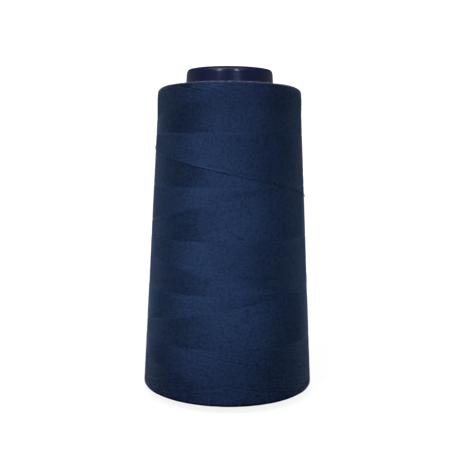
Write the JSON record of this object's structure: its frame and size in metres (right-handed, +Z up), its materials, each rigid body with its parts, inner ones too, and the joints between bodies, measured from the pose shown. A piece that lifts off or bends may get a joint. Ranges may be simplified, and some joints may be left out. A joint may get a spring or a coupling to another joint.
{
  "type": "spool of thread",
  "caption": "Tapered cone of cross-wound sewing thread on a hollow moulded core with a rounded nose; the last wrap unwinds round the cone and its cut end lifts.",
  "frame": {"origin": "centre of the core's foot, on its resting plane", "axes": "+Z up the cone's axis, from the foot to the nose; -Y is the front"},
  "size_m": [0.0824, 0.0824, 0.155],
  "materials": {
    "core": "gloss",
    "thread": "matte",
    "label": "matte"
  },
  "bodies": {
    "cone": {"cone_core": "core", "thread_package": "thread", "transfer_tail": "thread", "core_label": "label"},
    "outer_wrap": {"outer_wrap": "thread"},
    "loose_end": {"loose_end": "thread"}
  },
  "joints": [
    {"name": "unwind", "type": "hinge", "parent": "cone", "child": "outer_wrap", "pos_m": [0, 0, 0.08], "axis": [0, 0, 1], "continuous": true},
    {"name": "end_lift", "type": "hinge", "parent": "outer_wrap", "child": "loose_end", "pos_m": [0.02849, 0.02376, 0.08949], "axis": [0, 0, -1], "range_deg": [0, 80]}
  ]
}
